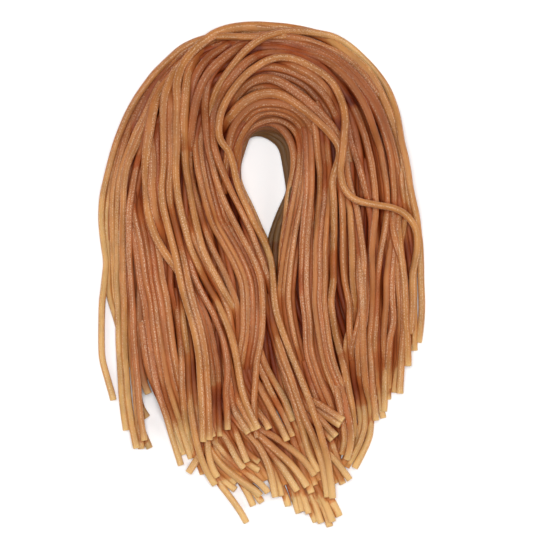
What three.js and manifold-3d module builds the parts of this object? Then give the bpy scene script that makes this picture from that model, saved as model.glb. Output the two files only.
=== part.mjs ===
import * as THREE from 'three';
import { mergeVertices } from 'three/addons/utils/BufferGeometryUtils.js';
import Module from 'manifold-3d';

// A bundle of thick dry rice noodles, lying flat on a table. The noodles run
// side by side up the left limb (-X), over the fold at the top (+Y) and down
// the right limb (+X). The fold leaves an eye-shaped hole, and the cut ends fan
// out at the bottom (-Y). The bundle is one solid: a low core with a flat
// underside, and the noodles that show fused on. Sizes are in millimetres.

const NOODLE_WIDTH = 1.9;
const NOODLE_SIDES = 5;
const NOODLE_STEPS = 20;

const CROWN_HEIGHT = 17.5;   // top of the core at the fold
const LIMB_HEIGHT = 11.5;    // top of the core halfway down a limb
const TIP_HEIGHT = 4.0;      // top of the core at the cut ends
const RIM_HEIGHT = 2.6;      // height of the core's own edge
const CORE_INSET = 1.5;      // how far the core stays inside the outline

const LANE_NOODLES = 15;     // noodles that lie on the core, inner edge to outer edge
const SIDE_NOODLES = 1;      // noodles lower down, round the outer side
const LANE_DRIFT = 0.008;    // how far a noodle strays sideways, as a share of the width
const END_SPREAD = 0.045;    // how far cut ends differ, as a share of the whole route

// The route across the bundle's two edges, from the left tips over the fold to
// the right tips: the edge at the hole, the edge outside, and the core's height.
const STATIONS = [
  { inner: [23.0, -85.5], outer: [-45.0, -52.5], height: TIP_HEIGHT },
  { inner: [12.0, -47.0], outer: [-47.5, -25.0], height: 0.8 * LIMB_HEIGHT },
  { inner: [4.5, -14.0], outer: [-49.5, -4.0], height: LIMB_HEIGHT },
  { inner: [0.8, 14.4], outer: [-53.5, 17.0], height: LIMB_HEIGHT },
  { inner: [-6.2, 30.5], outer: [-51.0, 37.0], height: 1.1 * LIMB_HEIGHT },
  { inner: [-5.8, 41.5], outer: [-39.0, 62.5], height: 0.9 * CROWN_HEIGHT },
  { inner: [-1.2, 45.8], outer: [-3.0, 83.0], height: CROWN_HEIGHT },
  { inner: [4.6, 42.2], outer: [33.0, 72.0], height: 0.95 * CROWN_HEIGHT },
  { inner: [7.0, 31.5], outer: [47.5, 43.0], height: 1.2 * LIMB_HEIGHT },
  { inner: [4.5, 19.0], outer: [51.5, 17.0], height: LIMB_HEIGHT },
  { inner: [-1.5, -8.0], outer: [53.8, -6.0], height: LIMB_HEIGHT },
  { inner: [7.5, -46.0], outer: [53.6, -16.0], height: 0.8 * LIMB_HEIGHT },
  { inner: [24.5, -80.0], outer: [52.3, -23.5], height: TIP_HEIGHT },
];
const LEFT_SPAN = [0.03, 0.46];    // the left limb's share of the route
const RIGHT_SPAN = [0.40, 0.97];   // the fold's and the right limb's

// The core's cross-section: how high it rises above its rim, across the width.
const PROFILE = [
  { lane: 0, rise: 0 },
  { lane: 0.12, rise: 0.7 },
  { lane: 0.35, rise: 1 },
  { lane: 0.65, rise: 1 },
  { lane: 0.88, rise: 0.7 },
  { lane: 1, rise: 0 },
];

// Noodles that have left the rest: the way they run, seen from above, and how
// many noodle widths their middle is above the core.
const LOOSE_NOODLES = [
  { name: 'outer left', lift: 0.6, way: [[-40.8, 58.9], [-46.4, 50.7], [-50.3, 37.5], [-53.0, 24.3],
    [-53.2, 17.7], [-51.6, 4.5], [-53.1, -12.0], [-53.1, -25.2], [-50.7, -36.8], [-49.5, -42.1]] },
  { name: 'across the fold', lift: 1.0, way: [[-17.7, 49.0], [-16.0, 58.9], [-8.7, 70.1], [0.2, 77.7],
    [11.7, 80.2], [27.6, 76.4], [38.1, 66.2], [44.6, 53.0], [48.9, 34.0], [53.2, 7.8], [54.1, -12.0],
    [52.8, -23.0]] },
  { name: 'wanderer', lift: 1.1, way: [[6.8, 72.1], [16.0, 69.8], [22.6, 63.9], [27.0, 54.1], [26.6, 40.0],
    [28.5, 26.9], [35.8, 23.3], [44.7, 21.0], [50.7, 14.0], [51.2, 3.0], [50.0, -7.0]] },
  { name: 'centre', lift: 1.1, way: [[4.5, -8.7], [7.4, -20.3], [12.4, -31.9], [16.7, -41.7], [20.3, -54.9],
    [22.6, -68.0], [23.0, -76.0]] },
  { name: 'lowest end', lift: 0, way: [[-21.6, -50.0], [-15.7, -65.0], [-10.4, -74.8], [-5.4, -82.3]] },
];

const COLOURS = { riceNoodle: 0xa76e48 };
const RANDOM_SEED = 11;

const wasm = await Module();
wasm.setup();

function seededRandom(seed) {
  let state = seed >>> 0;
  return () => {
    state = (state + 0x6d2b79f5) >>> 0;
    let mixed = Math.imul(state ^ (state >>> 15), state | 1);
    mixed ^= mixed + Math.imul(mixed ^ (mixed >>> 7), mixed | 61);
    return ((mixed ^ (mixed >>> 14)) >>> 0) / 4294967296;
  };
}

// A curve whose steps are spaced as its points are, so they crowd in the tight bends.
class RouteCurve extends THREE.CatmullRomCurve3 {
  getUtoTmapping(share) {
    return share;
  }
}

const innerEdge = new RouteCurve(STATIONS.map(({ inner, height }) => new THREE.Vector3(...inner, height)));
const outerEdge = new RouteCurve(STATIONS.map(({ outer, height }) => new THREE.Vector3(...outer, height)));

function profileRise(lane) {
  const next = Math.max(1, PROFILE.findIndex((corner) => corner.lane >= lane));
  const [from, to] = [PROFILE[next - 1], PROFILE[next]];
  return THREE.MathUtils.mapLinear(lane, from.lane, to.lane, from.rise, to.rise);
}

// A point on the bundle at a share of the route and of the width (0 at the
// hole, 1 outside), with z at the core's top there.
function onBundle(route, lane) {
  const point = innerEdge.getPoint(route).lerp(outerEdge.getPoint(route), lane);
  point.z = RIM_HEIGHT + (point.z - RIM_HEIGHT) * profileRise(lane);
  return point;
}

// The core's top at a place seen from above, from the nearest of a grid of points.
const surfaceSamples = [];
for (let routeStep = 0; routeStep <= 120; routeStep += 1) {
  for (let laneStep = 0; laneStep <= 20; laneStep += 1) {
    surfaceSamples.push(onBundle(routeStep / 120, laneStep / 20));
  }
}

function surfaceHeight(x, y) {
  let nearest = surfaceSamples[0];
  let nearestDistance = Infinity;
  for (const sample of surfaceSamples) {
    const distance = Math.hypot(sample.x - x, sample.y - y);
    if (distance < nearestDistance) {
      nearest = sample;
      nearestDistance = distance;
    }
  }
  return nearest.z;
}

function toManifold(geometry) {
  const bare = geometry.clone();
  bare.deleteAttribute('normal');
  bare.deleteAttribute('uv');
  const merged = mergeVertices(bare, 1e-4);
  return new wasm.Manifold(new wasm.Mesh({
    numProp: 3,
    vertProperties: new Float32Array(merged.attributes.position.array),
    triVerts: new Uint32Array(merged.index.array),
  }));
}

// One stretch of the core: a box bent along the route, flat below, arched above.
function makeCoreStretch([routeStart, routeEnd], routeSteps) {
  const profileSteps = PROFILE.length - 1;
  const geometry = new THREE.BoxGeometry(1, 1, 1, routeSteps, profileSteps, 1);
  const position = geometry.attributes.position;
  for (let index = 0; index < position.count; index += 1) {
    const route = THREE.MathUtils.mapLinear(position.getX(index), -0.5, 0.5, routeStart, routeEnd);
    const width = innerEdge.getPoint(route).distanceTo(outerEdge.getPoint(route));
    const inset = CORE_INSET / width;
    const corner = PROFILE[Math.round((position.getY(index) + 0.5) * profileSteps)];
    const lane = THREE.MathUtils.lerp(inset, 1 - inset, corner.lane);
    const point = onBundle(route, lane);
    const onTop = position.getZ(index) > 0;
    position.setXYZ(index, point.x, point.y, onTop ? point.z : 0);
  }
  return toManifold(geometry);
}

function makeNoodle(points) {
  const section = new THREE.Shape();
  for (let side = 0; side < NOODLE_SIDES; side += 1) {
    const angle = ((side + 0.5) / NOODLE_SIDES) * 2 * Math.PI;
    const radius = NOODLE_WIDTH / 2;
    section[side === 0 ? 'moveTo' : 'lineTo'](radius * Math.cos(angle), radius * Math.sin(angle));
  }
  section.closePath();
  return toManifold(new THREE.ExtrudeGeometry(section, {
    steps: NOODLE_STEPS,
    bevelEnabled: false,
    extrudePath: new RouteCurve(points),
  }));
}

// A noodle that follows the rest from tip to tip, wandering a little in its lane.
function makeLaneNoodle(lane, heightShare, random) {
  const routeStart = END_SPREAD * random();
  const routeEnd = 1 - END_SPREAD * random();
  const phase = 2 * Math.PI * random();
  const lift = NOODLE_WIDTH * (0.30 + 0.15 * random());
  const points = [];
  for (let step = 0; step <= NOODLE_STEPS; step += 1) {
    const share = step / NOODLE_STEPS;
    const route = THREE.MathUtils.lerp(routeStart, routeEnd, share);
    const drift = LANE_DRIFT * Math.sin(2 * Math.PI * share + phase);
    const point = onBundle(route, THREE.MathUtils.clamp(lane + drift, 0.012, 0.985));
    point.z = Math.max(point.z * heightShare + lift, 0.75 * NOODLE_WIDTH);
    points.push(point);
  }
  return makeNoodle(points);
}

function makeLooseNoodle({ lift, way }) {
  return makeNoodle(way.map(([x, y]) => {
    const z = surfaceHeight(x, y) + lift * NOODLE_WIDTH;
    return new THREE.Vector3(x, y, z);
  }));
}

function makeBundle() {
  const random = seededRandom(RANDOM_SEED);
  let solid = makeCoreStretch(LEFT_SPAN, 8).add(makeCoreStretch(RIGHT_SPAN, 12));
  for (let index = 0; index < LANE_NOODLES; index += 1) {
    solid = solid.add(makeLaneNoodle((index + 0.5) / LANE_NOODLES, 1, random));
  }
  for (let index = 0; index < SIDE_NOODLES; index += 1) {
    solid = solid.add(makeLaneNoodle(0.985, (index + 0.3) / SIDE_NOODLES, random));
  }
  for (const noodle of LOOSE_NOODLES) {
    solid = solid.add(makeLooseNoodle(noodle));
  }
  // Fusing can shut small hollows in and cut scraps loose: only the outer body stays.
  return solid.decompose().sort((one, other) => other.volume() - one.volume())[0];
}

function toGeometry(solid) {
  const { vertProperties, triVerts } = solid.getMesh();
  const geometry = new THREE.BufferGeometry();
  geometry.setAttribute('position', new THREE.BufferAttribute(new Float32Array(vertProperties), 3));
  geometry.setIndex(new THREE.BufferAttribute(new Uint32Array(triVerts), 1));
  const size = new THREE.Vector3();
  const centre = new THREE.Vector3();
  geometry.computeBoundingBox();
  geometry.boundingBox.getSize(size);
  geometry.boundingBox.getCenter(centre);
  geometry.translate(-centre.x, -centre.y, size.z / 2 - centre.z);
  geometry.computeVertexNormals();
  return geometry;
}

const object = new THREE.Group();
const bundle = new THREE.Mesh(
  toGeometry(makeBundle()),
  new THREE.MeshStandardMaterial({ color: COLOURS.riceNoodle, roughness: 0.45, metalness: 0 }),
);
bundle.name = 'noodle_bundle';
object.add(bundle);

export default object;
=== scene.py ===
import math
from collections import namedtuple

import bmesh
import bpy
import numpy as np
from bpy.props import FloatProperty, FloatVectorProperty, IntProperty, PointerProperty
from bpy.types import Operator, Panel, PropertyGroup
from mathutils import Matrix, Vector


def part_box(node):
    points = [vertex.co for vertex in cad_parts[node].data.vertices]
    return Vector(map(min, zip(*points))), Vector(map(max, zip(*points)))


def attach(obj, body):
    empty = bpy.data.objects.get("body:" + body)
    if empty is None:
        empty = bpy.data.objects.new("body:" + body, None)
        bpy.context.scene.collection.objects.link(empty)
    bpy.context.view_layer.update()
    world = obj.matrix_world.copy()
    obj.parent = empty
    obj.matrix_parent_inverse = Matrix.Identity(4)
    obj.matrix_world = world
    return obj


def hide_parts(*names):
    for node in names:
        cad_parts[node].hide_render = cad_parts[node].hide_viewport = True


# The looks of a bundle of dry rice noodles that lies flat, in metres, +Z up. The noodles are
# laid one by one from the table up: each one settles on those that already lie there. Their
# ways are written in pixels of the photograph, x to the right and y down, and run from one
# end of what shows to the other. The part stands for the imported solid, inside the same box.

bl_info = {
    "name": "Bundle of dry rice noodles",
    "version": (1, 0, 0),
    "blender": (4, 5, 0),
    "location": "3D View > Sidebar > Noodles",
    "description": "Lays a folded bundle of dry rice noodles and the stage that it is shown on",
    "category": "Object",
}

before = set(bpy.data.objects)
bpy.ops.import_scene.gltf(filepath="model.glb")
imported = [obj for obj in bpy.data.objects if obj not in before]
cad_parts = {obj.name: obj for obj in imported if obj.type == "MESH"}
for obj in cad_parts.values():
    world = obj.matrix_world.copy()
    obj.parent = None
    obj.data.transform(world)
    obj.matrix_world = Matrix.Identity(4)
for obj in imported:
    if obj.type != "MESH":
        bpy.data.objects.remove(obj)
NODE = "noodle_bundle"
CAD_LOW, CAD_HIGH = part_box(NODE)
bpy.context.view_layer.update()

# ---------------------------------------------------------------- the photograph's pixels
PHOTO_SIDE = 537
OUTLINE_LEFT, OUTLINE_RIGHT = 97.0, 427.0
OUTLINE_MIDDLE = (261.5, 273.5)
PIXEL = (CAD_HIGH.x - CAD_LOW.x) / (OUTLINE_RIGHT - OUTLINE_LEFT)


def on_table(pixels):
    """Points of the photograph as x and y in metres."""
    flat = np.asarray(pixels, dtype=float).reshape(-1, 2)
    x = (flat[:, 0] - OUTLINE_MIDDLE[0]) * PIXEL
    y = (OUTLINE_MIDDLE[1] - flat[:, 1]) * PIXEL
    return np.stack([x, y], axis=1)


# ---------------------------------------------------------------- the ways of the noodles
# The two edges of the bundle, from the left tips over the fold to the right tips: a point at
# the eye's side, the point across from it on the outside, and the height between them in mm.
STATIONS = (
    (324, 507, 121, 402, 5.5), (306, 450, 118, 372, 8.0), (292, 385, 116, 338, 10.4),
    (284, 320, 112, 300, 11.9), (275, 278, 109, 265, 12.6), (262, 238, 103, 215, 12.7),
    (249, 200, 108, 188, 13.3), (244, 170, 119, 147, 14.4), (247, 145, 143, 93, 16.2),
    (257, 129, 189, 47, 17.5), (272, 123, 259, 27, 18.0), (287, 128, 331, 42, 17.7),
    (297, 145, 380, 84, 16.6), (296, 172, 399, 142, 15.0), (285, 208, 409, 200, 13.4),
    (272, 250, 417, 250, 12.6), (272, 310, 420, 296, 12.1), (286, 365, 418, 310, 10.8),
    (303, 430, 414, 330, 8.6), (322, 490, 408, 346, 6.0),
)

Strand = namedtuple("Strand", "piece name way count pitch ends golden")


# golden sets a noodle's tone; a value below 0 paints shade on it instead
def strand(piece, name, way, count=1, pitch=5.9, ends="dive dive", golden=None):
    """One noodle or a ribbon of noodles side by side. Each end is cut, or dives out of sight just
    past the way's last point, or ducks under before it."""
    return Strand(piece, name, way, count, pitch, ends.split(), golden)


def single(piece, name, pitch, way, ends="dive cut", golden=None):
    """One noodle alone, as wide as its pitch. Its lower end is cut, unless ends says otherwise."""
    return strand(piece, name, way, 1, pitch, ends, golden)


LEFT, FOLD, RIGHT, TIPS, LOOSE = (
    "noodles_left", "noodles_fold", "noodles_right", "noodles_tips", "noodles_loose")

# From the table up.
STRANDS = (
    # round the eye, deepest first
    strand(FOLD, "eye, right rim", (252, 131, 262, 131, 270, 134, 279, 139, 286, 146, 288, 160, 290, 172,
        290, 185, 287.5, 196, 282.8, 206, 278, 217, 274, 228, 270.8, 240, 269.5, 262), golden=-0.9),
    strand(FOLD, "eye, wall lower", (295, 172, 294, 187, 291, 200, 287, 213, 282, 226, 279, 240,
        278, 262), 2, 5.6, golden=-0.9),
    strand(FOLD, "eye, left rim", (262, 129, 252, 131, 244, 138, 239.5, 150, 237.6, 165, 238, 178,
        242, 190, 248.5, 203, 254, 215, 259.5, 228, 265, 240, 269, 256)),
    strand(FOLD, "eye, wall lowest", (238, 185, 237.3, 165, 238, 150, 242, 139.5, 248, 133.8, 256, 131.3,
        265, 132.5, 273, 136.8, 280, 143, 284, 152, 287, 170, 289, 185), golden=-0.9),
    strand(FOLD, "eye, wall low", (237, 180, 236.5, 160, 238, 149, 242, 138.5, 249, 132, 258, 129.5,
        268, 130.5, 277, 134.5, 285, 141, 289, 151, 291, 166, 292, 180), golden=-0.9),
    strand(FOLD, "eye, wall middle", (237, 160, 239, 147, 243.5, 136, 251, 129.5, 260, 127, 270, 127.5,
        280, 131, 288, 138, 292, 148, 294, 162), golden=-0.8),
    strand(FOLD, "eye, wall high", (241, 150, 246, 136, 254, 128, 263, 125.5, 272, 126, 282, 129.5,
        289, 136, 293, 145, 295, 156), golden=-0.6),
    strand(FOLD, "eye, inner dim", (237, 160, 239.5, 145, 246.5, 132, 258, 124, 269, 122, 277, 125,
        284, 131, 289, 139, 292, 147, 293.5, 157, 293, 170, 291, 180, 289, 190, 287, 202, 286, 215,
        284, 230, 282, 245, 281, 260, 280, 285)),
    strand(FOLD, "eye, left wall", (237, 196, 243, 211, 249, 225, 255, 239, 259.5, 252, 263.5, 266,
        266, 285), 2, 5.6, golden=-0.35),
    strand(RIGHT, "rim ribbon, lowest", (296, 185, 293, 200, 290, 215, 287, 230, 285, 245, 283, 260,
        282, 280, 282.5, 295, 285, 310, 289, 324)),
    strand(FOLD, "rim ribbon, inner", (236, 160, 237.5, 145, 242, 134, 249.5, 126, 257.5, 121.5,
        266, 118.5, 273, 117.5, 281, 118.5, 288, 121.5, 294, 126.5, 298.5, 133, 301, 141, 302, 150,
        301.5, 160, 300.5, 172, 298.5, 185, 295.5, 200, 292.5, 215, 290, 230, 287.5, 245, 285, 262,
        283, 280, 282, 300, 284, 318, 287, 334, 291, 346, 295.5, 358, 300, 370, 304, 382), 2, 4.4,
        golden=0.55),
    strand(FOLD, "rim ribbon, outer", (236, 155, 238, 138, 242, 129, 248, 121, 255, 115.5, 263, 112,
        272, 110.5, 282, 111.5, 290, 114.5, 297, 119.5, 303, 126.5, 306.5, 135, 308.3, 145, 308.8, 155,
        308, 170, 306.5, 185, 304, 200, 301.5, 213, 299, 225, 296.3, 240, 293.8, 258, 291.5, 280,
        290.5, 297, 292, 314, 295, 331, 298, 344, 302, 358, 306, 371, 310, 384), 2, 4.4, golden=0.45),
    strand(FOLD, "fold, filling left", (226, 186, 226, 172, 228, 158, 231, 145, 236, 133, 243, 122,
        252, 112, 262, 107, 272, 106, 283, 108, 293, 112, 301, 118, 307, 126, 311, 136, 312, 150), 3, 5.6,
        ends="duck duck"),
    strand(FOLD, "fold, filling right", (233, 146, 236, 130, 243, 117, 252, 108, 262, 104.5, 272, 103.5,
        283, 105, 293, 109, 302, 115, 309, 124, 313, 134, 314, 148), 2, 6.0, ends="duck duck"),
    strand(FOLD, "fold, third", (228, 152, 230, 139, 234, 127, 240, 118, 250, 108, 262, 103.5, 272, 103,
        282, 104, 292, 107.5, 300, 113, 306, 119, 311, 126, 314, 133, 315.5, 141, 315.5, 150, 314, 160,
        312, 172, 311, 190, 311, 205, 311.5, 220, 311.5, 240, 311.5, 260, 310.5, 280, 312, 300,
        314.5, 320, 317, 350, 322, 370, 330, 390, 336, 405)),
    # the right limb, under
    strand(FOLD, "fold, filling", (256, 80, 266, 79, 277, 80, 290, 85, 302, 92, 313, 102, 322, 113,
        329, 125, 333, 138), 3, 6.4),
    strand(FOLD, "fold, filling high", (258, 79, 268, 77, 279, 79, 291, 83.5, 303, 91, 314, 101, 323, 112,
        330, 124, 334, 137), 2, 6.4),
    strand(FOLD, "fold, dim over the filling", (262, 80, 272, 79, 282, 82, 293, 87.5, 304, 95.5, 314, 106,
        323, 117, 330, 129)),
    strand(FOLD, "fold, dim middle", (252, 74, 262, 72, 272, 73, 284, 76, 295, 80, 306, 87, 315, 96,
        323, 106, 330, 116, 335, 127)),
    strand(FOLD, "fold, dim brown", (296, 68, 306, 73, 315, 79, 323, 87, 330, 97, 336, 109, 339, 121)),
    strand(FOLD, "fold, brown", (256, 70, 266, 67.5, 277, 68, 287, 70.5, 300, 76, 312, 83.5, 320, 91,
        327, 100, 333, 111, 337, 122, 339, 134)),
    strand(RIGHT, "right, shadow left", (331, 312, 335, 325, 339, 338, 343, 350, 346, 362)),
    strand(RIGHT, "right, shadow", (384, 330, 383.5, 350, 383, 370, 382.5, 385, 382, 409), 3, 5.4,
        "dive cut"),
    strand(RIGHT, "right, shadow outer", (394, 290, 394, 320, 394, 350, 393.5, 370, 393, 389), 2, 5.4,
        "dive cut"),
    strand(RIGHT, "right, shadow low", (324, 392, 331, 406, 336, 420, 338, 434, 338, 446, 336, 457,
        333, 467), 2, 6.2, "dive cut", golden=-0.25),
    strand(RIGHT, "right, slender", (337, 176, 341, 190, 345, 200, 348, 210, 350, 225, 351, 240, 352, 255,
        353, 270, 353, 285)),
    strand(RIGHT, "right, wedge", (371, 200, 373, 215, 372, 230, 370, 245, 368, 262, 367, 280, 366.5, 300,
        365, 320, 362, 335)),
    strand(RIGHT, "ribbon by the rim", (309, 165, 309, 190, 307, 215, 305, 240, 304.5, 262, 304, 280,
        305, 300, 307.5, 320, 309, 350, 314.5, 370, 322, 390, 328, 403), 2, 5.0),
    strand(RIGHT, "ribbon of three", (322, 135, 323, 150, 324, 160, 325, 170, 325, 190, 324.5, 200,
        323.5, 210, 322.5, 220, 321.5, 235, 320.8, 250, 320.8, 265, 320.8, 280, 320, 300, 322, 320,
        326, 350, 331, 370, 339, 390, 344, 405), 3, 4.9),
    single(RIGHT, "right, sixth", 5.8, (345, 190, 350, 200, 354, 215, 356, 230, 358, 245, 359, 260,
        359, 280, 361, 300, 361, 310, 358, 325, 355, 338, 352, 350, 352.5, 362, 354, 380, 357, 397,
        359, 412, 360.5, 425, 358.5, 437, 355, 448, 350, 458, 345, 467)),
    single(RIGHT, "right, seventh", 5.8, (352, 193, 356, 205, 359, 220, 361, 235, 363, 250, 364, 262,
        363.5, 280, 364, 300, 363.5, 312, 361, 328, 358.5, 340, 357.5, 350, 358.5, 362, 360, 380,
        363, 397, 365, 412, 365.5, 425, 363, 437, 358.5, 449, 353, 460, 349, 467)),
    single(RIGHT, "right, outer low", 5.8, (362, 290, 363, 310, 363, 335, 364, 362, 366, 385, 370, 400,
        371.5, 412, 371, 425, 369.8, 437, 365.6, 448, 360.3, 459, 355, 469)),
    single(RIGHT, "right, sixth bright", 5.8, (343, 180, 347, 197, 350, 210, 351, 225, 352, 240,
        352.5, 262, 353, 280, 354.5, 295, 355.5, 305, 354, 317, 350.5, 328, 347.5, 337, 346, 347,
        346, 360, 347, 375, 349.5, 392, 352, 405, 353.5, 418, 353.5, 430, 352, 440, 349, 450, 345, 460,
        341, 468), golden=0.9),
    strand(FOLD, "fold, dim lowest", (236, 108, 246, 96, 256, 91, 268, 90, 280, 92, 292, 96, 304, 104)),
    strand(FOLD, "fold, dim low", (231, 107, 240, 94, 248, 88, 258, 85.5, 270, 86, 282, 90, 293, 95,
        304, 103)),
    strand(FOLD, "fold, golden brown", (232, 104, 236, 98, 243, 89, 251, 82.8, 260, 79.5, 270, 79,
        281, 83, 292, 90, 303, 98, 314, 108, 324, 118, 332.5, 128, 338.5, 137.5, 341.5, 147, 341, 158,
        338, 168, 338.5, 178, 341, 190, 342, 200, 343, 215, 343.5, 230, 343.5, 245, 343.5, 262, 345, 280,
        348, 295, 350, 305, 350, 318), golden=0.45),
    strand(FOLD, "fold, kinked golden", (220, 140, 222, 131, 226, 124, 232, 116, 239, 108, 247, 101.5,
        256, 97, 265, 94.5, 274, 94.5, 283, 97, 291, 101.5, 299, 107, 307, 113, 315, 119.5, 323, 126.5,
        330, 134, 336.5, 142.5, 339.3, 150, 338.8, 158, 336, 167, 333, 177, 332.5, 187, 333.5, 200,
        334, 220, 334, 240, 334, 262, 334, 280, 331.5, 300, 333, 315, 335, 330, 337.5, 340, 340, 350,
        343, 362), 1, 6.4, golden=0.85),
    # the left limb, under
    strand(LEFT, "left, shaded flank", (222, 37, 205, 43, 190, 51, 178, 60, 166.5, 71.5, 156.5, 85,
        149, 98, 142.5, 111, 137, 124, 132, 137, 127, 150, 123, 162), 2, 7.0, "duck dive", golden=0.0),
    single(LEFT, "left, olive shade", 6.4, (134, 205, 135, 230, 134.5, 255, 134.5, 280, 133.5, 310,
        132.5, 340, 133.5, 365, 136, 388, 139, 410, 141, 428, 144.5, 438, 149.5, 449), golden=-0.3),
    single(LEFT, "left, olive shade inner", 6.4, (139, 240, 140, 262, 140, 285, 139.5, 310, 138.5, 340,
        139.5, 362, 143, 380, 148.5, 394), golden=-0.3),
    single(LEFT, "left, stub", 6.4, (134, 370, 136.5, 395, 139.5, 409, 145.5, 419), golden=-0.3),
    strand(LEFT, "left, dim between", (157, 145, 157.5, 165, 157, 185, 160, 205, 165, 225, 169, 240,
        170, 262, 170, 285, 174, 305, 178, 325, 184, 345, 187, 362, 188, 380, 190, 400)),
    strand(LEFT, "left, dim fourth", (170, 150, 170, 170, 172, 188, 181, 212, 187, 225, 193, 240,
        197, 250, 203, 262, 209, 272)),
    strand(LEFT, "left, dim sixth", (190, 150, 190, 170, 194, 190, 201, 215, 206, 232, 213, 250, 222, 268,
        229, 285, 235, 300, 238, 315, 238, 335)),
    single(LEFT, "left, dim wedge", 5.8, (186, 268, 191, 282, 196, 297, 202, 311, 207, 325, 210, 340,
        213, 352, 214, 366, 214.5, 380, 214.5, 395, 215, 410, 216, 426)),
    single(LEFT, "fan, edge", 5.8, (143, 340, 145, 355, 147.8, 368, 152.5, 382, 158.5, 396, 165, 411,
        170.5, 425, 176.5, 440, 181, 453), golden=0.1),
    strand(LEFT, "fan of five", (142, 222, 146, 240, 149, 260, 151.5, 280, 155.5, 300, 158, 320,
        160.5, 340, 163.5, 360, 167, 380, 172.5, 400, 177.5, 415, 182, 431, 187, 446, 192.5, 462), 5, 5.7,
        "dive cut"),
    single(LEFT, "left, fan's edge", 5.8, (178, 330, 180, 350, 181, 365, 181.5, 385, 183, 402, 185, 418,
        187.5, 432, 191.5, 446, 196, 458, 200, 467, 203, 475)),
    single(LEFT, "left, brown by the fold", 7.5, (150, 142, 152, 155, 152.5, 170, 151.5, 185, 153, 200,
        155, 215, 160, 230, 165, 244, 168, 256), ends="dive duck", golden=0.55),
    strand(LEFT, "left, sixth", (204, 133, 204, 150, 204, 165, 203.5, 180, 204, 195), 1, 5.8),
    strand(LEFT, "ribbon of four", (203, 150, 204.8, 166, 207.8, 181, 212.8, 201, 219, 221, 229.8, 241,
        240.3, 261, 247.7, 281, 249.6, 300, 249.8, 320, 249, 335, 246.6, 350, 244.6, 362, 243.5, 378,
        242.5, 395), 4, 4.9),
    # the cut ends below, deepest first
    strand(TIPS, "ends, filling centre", (250, 384, 256, 397, 262, 410, 268, 423), 2, 6.2),
    strand(TIPS, "ends, filling low centre", (270, 424, 278, 440, 285, 456, 291, 470), 3, 6.0),
    strand(TIPS, "ends, filling far right", (343, 410, 346, 425, 347, 438, 345, 451, 340, 464), 2, 5.8,
        "dive cut"),
    strand(TIPS, "ends, filling high right", (304, 398, 312, 420, 319, 442, 326, 464, 335, 488), 5, 5.8,
        "dive cut", golden=0.0),
    strand(TIPS, "ends, fan filling", (302, 472, 308, 487, 315, 500, 321, 511, 326, 522), 4, 5.6,
        "dive cut"),
    single(TIPS, "ends, far right low", 6, (300, 470, 306, 485, 312, 500, 317, 512, 321, 524)),
    single(TIPS, "ends, lowest right", 6, (312, 475, 317, 492, 323, 505, 328, 516, 332, 527)),
    single(TIPS, "ends, right corner", 6.6, (316, 486, 321, 494.5, 325, 502, 329.5, 511, 334.5, 522)),
    single(TIPS, "ends, right corner outer", 6.6, (322, 483, 327, 492, 331, 499.5, 335.5, 508, 340, 517)),
    single(TIPS, "ends, low a", 6, (270, 462, 278, 480, 283.5, 491, 287, 500, 289, 507)),
    single(TIPS, "ends, low b", 6, (286, 475, 292, 493, 295, 504, 298, 514.5)),
    single(TIPS, "ends, low c", 6, (292, 470, 298, 488, 301, 500, 304, 512)),
    single(TIPS, "ends, low d", 6, (296, 475, 303, 494, 307, 505, 310, 514)),
    strand(TIPS, "ends, filling right", (300, 440, 306, 458, 311, 475, 317, 492), 3, 6.2, "dive cut"),
    strand(TIPS, "ends, filling middle", (250, 425, 262, 445, 272, 462, 280, 478, 286, 492), 4, 6.0,
        "dive cut"),
    strand(TIPS, "ends, filling left", (212, 430, 225, 448, 238, 463, 250, 476, 262, 487), 4, 6.0,
        "dive cut"),
    single(TIPS, "ends, left pair", 6, (226, 465, 237, 477, 245, 489, 250.5, 499, 254, 506.5)),
    single(TIPS, "ends, left pair right", 6, (232, 468, 244, 480.5, 252, 491.5, 260, 504.5)),
    strand(TIPS, "ends, filling slit", (252, 461, 258, 470, 264, 479, 268, 487), 2, 5.8, "dive cut"),
    strand(TIPS, "ends, filling low", (203, 447, 211, 459, 220, 469, 230, 477, 240, 484), 3, 6.0,
        "dive cut"),
    single(TIPS, "ends, lowest long", 5.8, (200, 455, 208, 467, 215, 477, 221, 486, 226.5, 493,
        232, 500.5, 237.5, 508.5, 242, 516, 246, 524)),
    single(TIPS, "ends, stray stub", 6, (206, 448, 200, 456, 195, 464, 189, 474)),
    single(TIPS, "ends, brown slant low", 6, (207, 445, 213, 455, 220, 464, 228, 471, 237, 478, 247, 485,
        256, 491, 261, 496)),
    single(TIPS, "ends, brown slant", 6, (206, 433, 215, 444, 224, 454, 234, 464, 244, 473, 255, 481,
        263, 488, 267, 494)),
    single(TIPS, "ends, short under", 6, (236, 440, 244, 450, 252, 458, 259, 463)),
    single(TIPS, "ends, short under low", 6, (236, 450, 244, 460, 253, 466, 260, 470)),
    single(TIPS, "ends, second short", 6, (218, 428, 226, 438, 231, 446, 235, 454, 240, 462, 245, 468)),
    single(TIPS, "ends, first short", 6.2, (229, 418, 236, 430, 240, 441, 244, 451, 248.5, 462)),
    single(TIPS, "ends, long inner", 6, (262, 450, 268, 462, 274, 474, 278, 485, 281, 497)),
    single(TIPS, "ends, long", 6.4, (234, 419, 244, 430, 252, 438, 259, 447, 265, 458, 269, 468, 272, 480,
        274, 490, 275.5, 498)),
    single(TIPS, "ends, slant third", 6.4, (256, 432, 262, 441, 268, 450, 274, 458, 280, 466, 286, 475,
        292, 484, 297, 492)),
    single(TIPS, "ends, slant second", 6.4, (256, 432, 262, 438, 271, 446, 280, 454, 289, 462, 297, 471,
        303, 479, 308, 487)),
    single(TIPS, "ends, slant first", 6.4, (252, 423, 262, 430, 272, 436, 283, 443.5, 293, 451, 302, 459,
        309, 467, 315, 476)),
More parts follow.
